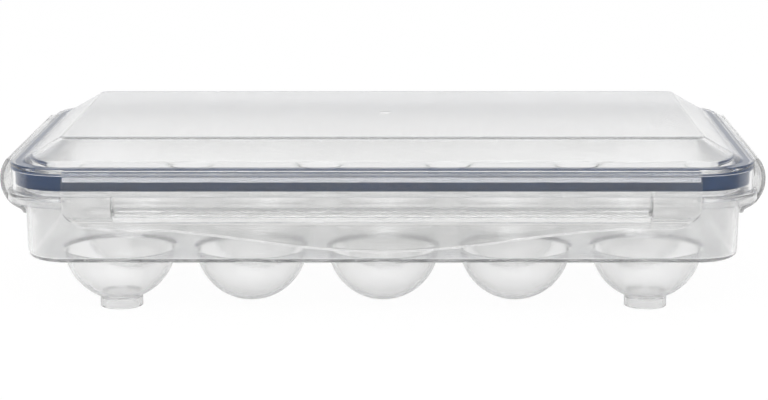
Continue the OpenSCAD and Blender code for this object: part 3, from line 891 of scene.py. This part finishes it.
class EGGKEEPER_OT_hinges(bpy.types.Operator):
    """Builds the living hinge along each side of the lid."""

    bl_idname = "egg_keeper.hinges"
    bl_label = "Build living hinges"

    def execute(self, context):
        for side in SIDES:
            moulded(f"{side}_living_hinge", web_grids(side), lid_plastic(), "lid", [f"{side}_hinge_web"])
        return {"FINISHED"}


class EGGKEEPER_OT_flaps(bpy.types.Operator):
    """Builds the four clip flaps with their latch ridges and grips."""

    bl_idname = "egg_keeper.flaps"
    bl_label = "Build clip flaps"

    def execute(self, context):
        for side in SIDES:
            moulded(f"{side}_clip_flap", flap_grids(side), flap_plastic(), f"{side}_flap", [f"{side}_flap"])
        return {"FINISHED"}


def white_to_the_eye(tree, lit, white, strength, behind, output):
    """Joins a shader that lights the object to a white one. The camera's rays see the white everywhere, and
    glossy and transmission rays see it where behind is 1, at the object's back and above it. Elsewhere
    transmission rays still see half of it."""
    rays = tree.nodes.new("ShaderNodeLightPath")
    mirrored = joined(tree, "MULTIPLY", rays.outputs["Is Glossy Ray"], behind)
    half_behind = joined(tree, "MAXIMUM", behind, 0.5)
    through = joined(tree, "MULTIPLY", rays.outputs["Is Transmission Ray"], half_behind)
    seen = joined(tree, "MAXIMUM", rays.outputs["Is Camera Ray"], joined(tree, "MAXIMUM", mirrored, through))
    mix = tree.nodes.new("ShaderNodeMixShader")
    tree.links.new(joined(tree, "MULTIPLY", seen, strength), mix.inputs[0])
    tree.links.new(lit.outputs[0], mix.inputs[1])
    tree.links.new(white.outputs[0], mix.inputs[2])
    tree.links.new(mix.outputs[0], output.inputs["Surface"])


def graded(tree, share, low, high, socket):
    """Feeds a colour socket with a mix of two colours by a share."""
    mix = tree.nodes.new("ShaderNodeMix")
    mix.data_type = "RGBA"
    tree.links.new(share, mix.inputs["Factor"])
    mix.inputs["A"].default_value = (*low, 1.0)
    mix.inputs["B"].default_value = (*high, 1.0)
    tree.links.new(mix.outputs["Result"], socket)


class EGGKEEPER_OT_stage(bpy.types.Operator):
    """Sets the white floor with its painted shade in front, the soft lamps, the world and the photograph's
    camera.
    """

    bl_idname = "egg_keeper.stage"
    bl_label = "Set stage"

    def execute(self, context):
        scene = context.scene
        scene.view_settings.view_transform = "Standard"
        for limit in ("max_bounces", "transmission_bounces", "glossy_bounces", "transparent_max_bounces"):
            setattr(scene.cycles, limit, BOUNCES)
        scene.cycles.use_denoising = True
        self.floor()
        self.world(scene)
        self.lamps(scene)
        self.camera(scene)
        return {"FINISHED"}

    def floor(self):
        """A wide disc under the feet, worked out as rings of points."""
        turn = np.linspace(0.0, 2 * math.pi, 97)[:-1]
        rings = np.array([0.001, 0.4, 1.5, 6.0])
        points = np.stack([rings[:, None] * np.cos(turn), rings[:, None] * np.sin(turn),
                           np.full((len(rings), len(turn)), -0.05 * MM)], -1)
        mesh = bpy.data.meshes.new("studio_floor")
        faces = grid_faces(len(rings), len(turn), 0, True)
        mesh.from_pydata(points.reshape(-1, 3).tolist(), [], faces.tolist())
        floor = bpy.data.objects.new("studio_floor", mesh)
        bpy.context.scene.collection.objects.link(floor)
        material = bpy.data.materials.new("studio_floor")
        material.use_nodes = True
        tree = material.node_tree
        finish = settings("egg_finish")
        shader, white = tree.nodes["Principled BSDF"], tree.nodes.new("ShaderNodeEmission")
        shader.inputs["Roughness"].default_value = 0.9
        shader.inputs["Specular IOR Level"].default_value = 0.0
        place, split = tree.nodes.new("ShaderNodeTexCoord"), tree.nodes.new("ShaderNodeSeparateXYZ")
        tree.links.new(place.outputs["Object"], split.inputs[0])
        # Painted shade: every ray but the camera's sees the floor dark in front of the object. This darkens the
        # reflections, the feet and cups seen through the plastic, and the bounced light.
        behind = ramp(tree, split.outputs["Y"], *FLOOR_SHADE_TO_PALE)
        rays = tree.nodes.new("ShaderNodeLightPath")
        pale = joined(tree, "MAXIMUM", behind, rays.outputs["Is Camera Ray"])
        graded(tree, pale, finish.floor_painted_shade, finish.floor, shader.inputs["Base Color"])
        white_to_the_eye(tree, shader, white, FLOOR_WHITE, behind, tree.nodes["Material Output"])
        mesh.materials.append(material)

    def world(self, scene):
        """A world that is pale behind and above the object, darker in front and beside it, and white to the
        camera. Its ramps run over the parts of a ray's direction."""
        world = bpy.data.worlds.new("studio_world")
        scene.world = world
        world.use_nodes = True
        tree = world.node_tree
        lit, white = tree.nodes["Background"], tree.nodes.new("ShaderNodeBackground")
        lit.inputs["Strength"].default_value = 1.0
        white.inputs["Color"].default_value = (1.0, 1.0, 1.0, 1.0)
        way, split = tree.nodes.new("ShaderNodeTexCoord"), tree.nodes.new("ShaderNodeSeparateXYZ")
        tree.links.new(way.outputs["Generated"], split.inputs[0])
        off_the_sides = ramp(tree, joined(tree, "ABSOLUTE", split.outputs["X"]), 0.92, 0.78)
        behind = joined(tree, "MULTIPLY", ramp(tree, split.outputs["Y"], -0.75, -0.5), off_the_sides)
        graded(tree, behind, settings("egg_finish").front, (1.0, 1.0, 1.0), lit.inputs["Color"])
        white_to_the_eye(tree, lit, white, 1.0, behind, tree.nodes["World Output"])

    def lamps(self, scene):
        """One broad lamp overhead, one at each side and a bright strip in front, low over the camera."""
        for name, place, width, height, power in (
            ("lamp_over", (0.0, -0.25, 0.9), 0.9, 0.9, 2.0),
            ("lamp_left", (-0.8, -0.5, 0.5), 0.5, 0.5, 1.0),
            ("lamp_right", (0.8, -0.5, 0.5), 0.5, 0.5, 1.0),
            ("lamp_strip", (0.0, -1.1, 0.86), 1.2, 0.40, 10.0),
        ):
            lamp = bpy.data.lights.new(name, "AREA")
            lamp.shape = "RECTANGLE"
            lamp.size = width
            lamp.size_y = height
            lamp.energy = power
            holder = bpy.data.objects.new(name, lamp)
            way = np.array([0.0, 0.0, 0.03]) - np.array(place)
            holder.location = place
            holder.rotation_euler = (
                math.acos(-way[2] / np.linalg.norm(way)), 0.0, math.atan2(way[1], way[0]) - math.pi / 2,
            )
            scene.collection.objects.link(holder)

    def camera(self, scene):
        """The photograph's camera: level ahead along +Y, tilted down, a little to the right and shifted."""
        data = bpy.data.cameras.new("camera")
        data.sensor_width = 36.0
        data.lens = CAMERA_LENS
        data.shift_x = CAMERA_SHIFT
        data.clip_start = 0.05
        data.clip_end = 50.0
        camera = bpy.data.objects.new("camera", data)
        camera.location = CAMERA_PLACE
        camera.rotation_euler = (math.radians(90.0 - CAMERA_TILT), 0.0, 0.0)
        scene.collection.objects.link(camera)
        scene.camera = camera


class EGGKEEPER_PT_panel(bpy.types.Panel):
    """Lists the sizes, colours and operators."""

    bl_idname = "EGGKEEPER_PT_panel"
    bl_label = "Egg keeper"
    bl_space_type = "VIEW_3D"
    bl_region_type = "UI"
    bl_category = "Egg keeper"

    def draw(self, context):
        for name in GROUPS:
            box = self.layout.box()
            group = getattr(context.scene, name)
            for key in group.__annotations__:
                box.prop(group, key)
        for operator in OPERATORS:
            self.layout.operator(operator.bl_idname)


GROUPS = {
    "egg_tray": EggKeeperTraySizes,
    "egg_lid": EggKeeperLidSizes,
    "egg_flap": EggKeeperFlapSizes,
    "egg_finish": EggKeeperFinish,
}
OPERATORS = (
    EGGKEEPER_OT_tray, EGGKEEPER_OT_lid, EGGKEEPER_OT_seal, EGGKEEPER_OT_hinges, EGGKEEPER_OT_flaps,
    EGGKEEPER_OT_stage,
)
CLASSES = (*GROUPS.values(), *OPERATORS, EGGKEEPER_PT_panel)


def register():
    """Registers every class and hangs the groups of values on the scene."""
    for kind in CLASSES:
        bpy.utils.register_class(kind)
    for name, group in GROUPS.items():
        setattr(bpy.types.Scene, name, bpy.props.PointerProperty(type=group))


def unregister():
    """Takes the groups of values and every class away again."""
    for name in GROUPS:
        delattr(bpy.types.Scene, name)
    for kind in reversed(CLASSES):
        bpy.utils.unregister_class(kind)


def main():
    register()
    bpy.ops.egg_keeper.tray()
    bpy.ops.egg_keeper.lid()
    bpy.ops.egg_keeper.seal()
    bpy.ops.egg_keeper.hinges()
    bpy.ops.egg_keeper.flaps()
    bpy.ops.egg_keeper.stage()


if __name__ == "__main__":
    main()
